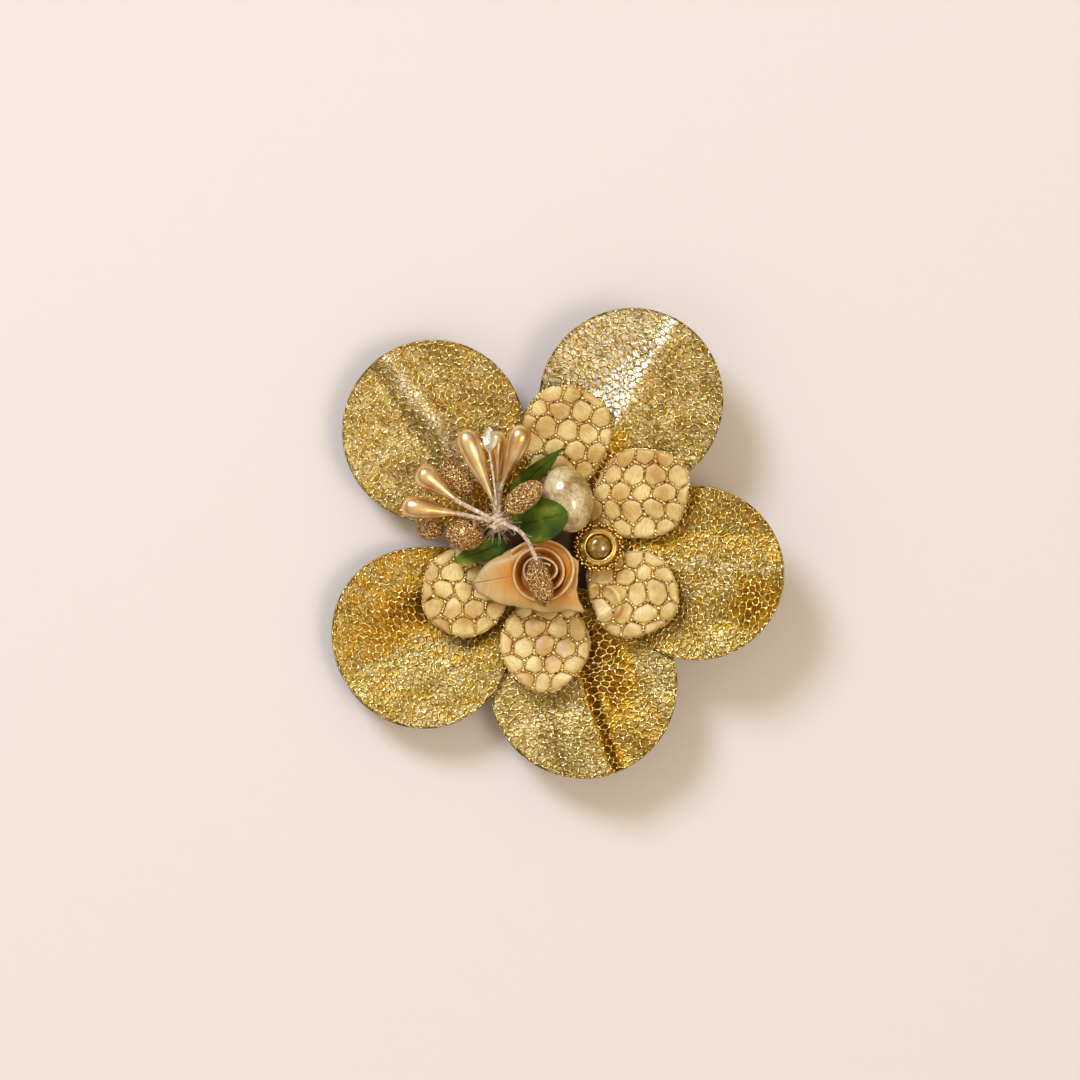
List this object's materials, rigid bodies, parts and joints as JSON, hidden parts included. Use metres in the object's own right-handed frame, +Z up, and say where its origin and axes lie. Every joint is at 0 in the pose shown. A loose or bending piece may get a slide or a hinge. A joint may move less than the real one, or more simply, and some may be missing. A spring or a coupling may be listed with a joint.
{
  "type": "flower hair clip",
  "caption": "Two-tier fabric flower with a trimmed centre of stamens, pearl, rosette and leaves, glued to a sprung alligator hair clip.",
  "frame": {"origin": "under the middle of the outline seen from above, on the surface that the clip lies on", "axes": "+Z up out of the flower's face, X along the clip with the thumb end at +X and the jaw tip at -X"},
  "size_m": [0.099, 0.1028, 0.0276],
  "materials": {
    "clip_steel": "nickel-plated spring steel, pressed",
    "felt": "matted brown wool-mix felt",
    "hot_glue": "set amber hot-melt glue",
    "gold_tissue": "champagne metallic film under a gold lurex net",
    "peach_satin": "puffed satin under a coarse gold net",
    "satin_ribbon": "satin ribbon",
    "pearl": "pearl lacquer with fine gold crackle",
    "gold_plate": "polished gold plate",
    "amber_resin": "clear amber resin, domed",
    "leaf_cloth": "pressed green polyester cloth",
    "gilt_lacquer": "satin gold pearl lacquer",
    "glitter_wire": "plastic foam core wound with crimped bronze-gold wire",
    "crystal": "clear cut acrylic",
    "twine": "frayed two-ply twine"
  },
  "bodies": {
    "lower_arm": {"clip_lower_arm": "clip_steel", "clip_hinge_pin": "clip_steel", "clip_torsion_spring": "clip_steel"},
    "flower_and_upper_arm": {"clip_upper_arm": "clip_steel", "felt_backing_disc": "felt", "hot_glue_mound": "hot_glue", "outer_petal_1": "gold_tissue", "outer_petal_2": "gold_tissue", "outer_petal_3": "gold_tissue", "outer_petal_4": "gold_tissue", "outer_petal_5": "gold_tissue", "inner_petal_1": "peach_satin", "inner_petal_2": "peach_satin", "inner_petal_3": "peach_satin", "inner_petal_4": "peach_satin", "inner_petal_5": "peach_satin", "rose_outer_wraps": "satin_ribbon", "rose_coiled_heart": "satin_ribbon", "pearl_bead": "pearl", "cabochon_granulated_base": "gold_plate", "cabochon_bezel_ring": "gold_plate", "cabochon_stone": "amber_resin", "leaf_1": "leaf_cloth", "leaf_2": "leaf_cloth", "leaf_3": "leaf_cloth", "stamen_drop_1": "gilt_lacquer", "stamen_drop_2": "gilt_lacquer", "stamen_drop_3": "gilt_lacquer", "stamen_drop_4": "gilt_lacquer", "stamen_drop_5": "gilt_lacquer", "glitter_bud_1": "glitter_wire", "glitter_bud_2": "glitter_wire", "glitter_bud_3": "glitter_wire", "glitter_bud_4": "glitter_wire", "glitter_bud_5": "glitter_wire", "crystal_bud": "crystal", "twine_knot": "twine", "bound_stems": "twine", "hanging_twine": "twine"}
  },
  "joints": [
    {"name": "clip_opens", "type": "hinge", "parent": "lower_arm", "child": "flower_and_upper_arm", "pos_m": [0.00789, 0.00036, 0.00307], "axis": [0, 1, 0], "range_deg": [0, 18], "stiffness_Nm_per_rad": 0.12, "springref_deg": -34.38, "deforming": ["clip_torsion_spring"]}
  ]
}
